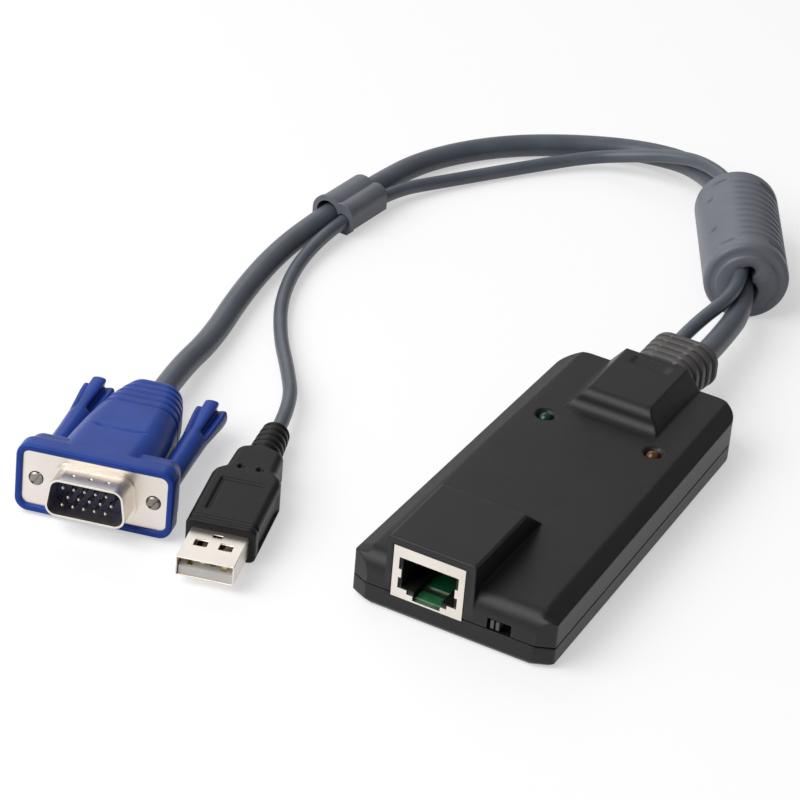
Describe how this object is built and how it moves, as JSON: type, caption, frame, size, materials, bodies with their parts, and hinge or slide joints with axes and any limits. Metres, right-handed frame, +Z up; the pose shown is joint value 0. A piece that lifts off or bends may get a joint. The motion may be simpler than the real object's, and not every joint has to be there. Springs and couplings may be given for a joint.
{
  "type": "kvm dongle",
  "caption": "Slim black keyboard, video and mouse adapter with a network jack, and a captive lead that splits to a video plug and a USB plug.",
  "frame": {"origin": "centre of the housing's footprint, on the surface it lies on", "axes": "+Z up, +Y towards the cable exit, +X to the right as seen from the network jack"},
  "size_m": [0.1257, 0.2164, 0.0195],
  "materials": {
    "black_housing": "fine spark texture, satin",
    "black_steel": "black zinc",
    "green_board": "solder mask",
    "nickel": "satin nickel plate",
    "black_insulator": "moulded",
    "gold": "gold flash",
    "grey_switch": "moulded",
    "green_lens": "tinted clear",
    "amber_lens": "tinted clear",
    "tinned_steel": "tinned",
    "aluminium_can": "drawn",
    "white_insulator": "moulded",
    "grey_boot": "soft moulded",
    "grey_cable": "smooth jacket, low sheen",
    "ferrite": "sintered",
    "grey_sleeve": "soft moulded",
    "blue_hood": "moulded, satin",
    "blue_insulator": "moulded",
    "black_grip": "soft moulded, matt"
  },
  "bodies": {
    "adapter": {"top_cover": "black_housing", "bottom_cover": "black_housing", "cover_screws": "black_steel", "circuit_board": "green_board", "network_jack_shield": "nickel", "network_jack_insert": "black_insulator", "network_jack_board": "green_board", "network_jack_contacts": "gold", "mode_switch_body": "black_insulator", "link_lamp": "green_lens", "power_lamp": "amber_lens", "lamp_leads": "tinned_steel", "main_chip": "black_insulator", "converter_chip": "black_insulator", "crystal": "nickel", "capacitors": "aluminium_can", "video_header": "white_insulator", "usb_header": "white_insulator", "video_wires": "grey_cable", "usb_wires": "grey_cable", "strain_relief": "grey_boot", "video_cable": "grey_cable", "usb_cable": "grey_cable", "ferrite_core": "ferrite", "ferrite_sleeve": "grey_sleeve", "cable_clip": "grey_sleeve", "video_hood": "blue_hood", "video_shell": "nickel", "video_insert": "blue_insulator", "video_pins": "gold", "usb_grip": "black_grip", "usb_shell": "nickel", "usb_tongue": "white_insulator", "usb_contacts": "gold"},
    "mode_switch": {"mode_switch_slider": "grey_switch"},
    "thumbscrew_left": {"thumbscrew_knob_left": "blue_hood", "thumbscrew_shank_left": "tinned_steel"},
    "thumbscrew_right": {"thumbscrew_knob_right": "blue_hood", "thumbscrew_shank_right": "tinned_steel"}
  },
  "joints": [
    {"name": "mode_switch_slide", "type": "slide", "parent": "adapter", "child": "mode_switch", "axis": [1, 0, 0], "range_m": [0, 0.002]},
    {"name": "thumbscrew_left_turn", "type": "hinge", "parent": "adapter", "child": "thumbscrew_left", "pos_m": [-0.08963, -0.05752, 0.00842], "axis": [-0.2413, 0.9679, -0.0698], "continuous": true},
    {"name": "thumbscrew_right_turn", "type": "hinge", "parent": "adapter", "child": "thumbscrew_right", "pos_m": [-0.06537, -0.05148, 0.00842], "axis": [-0.2413, 0.9679, -0.0698], "continuous": true}
  ]
}
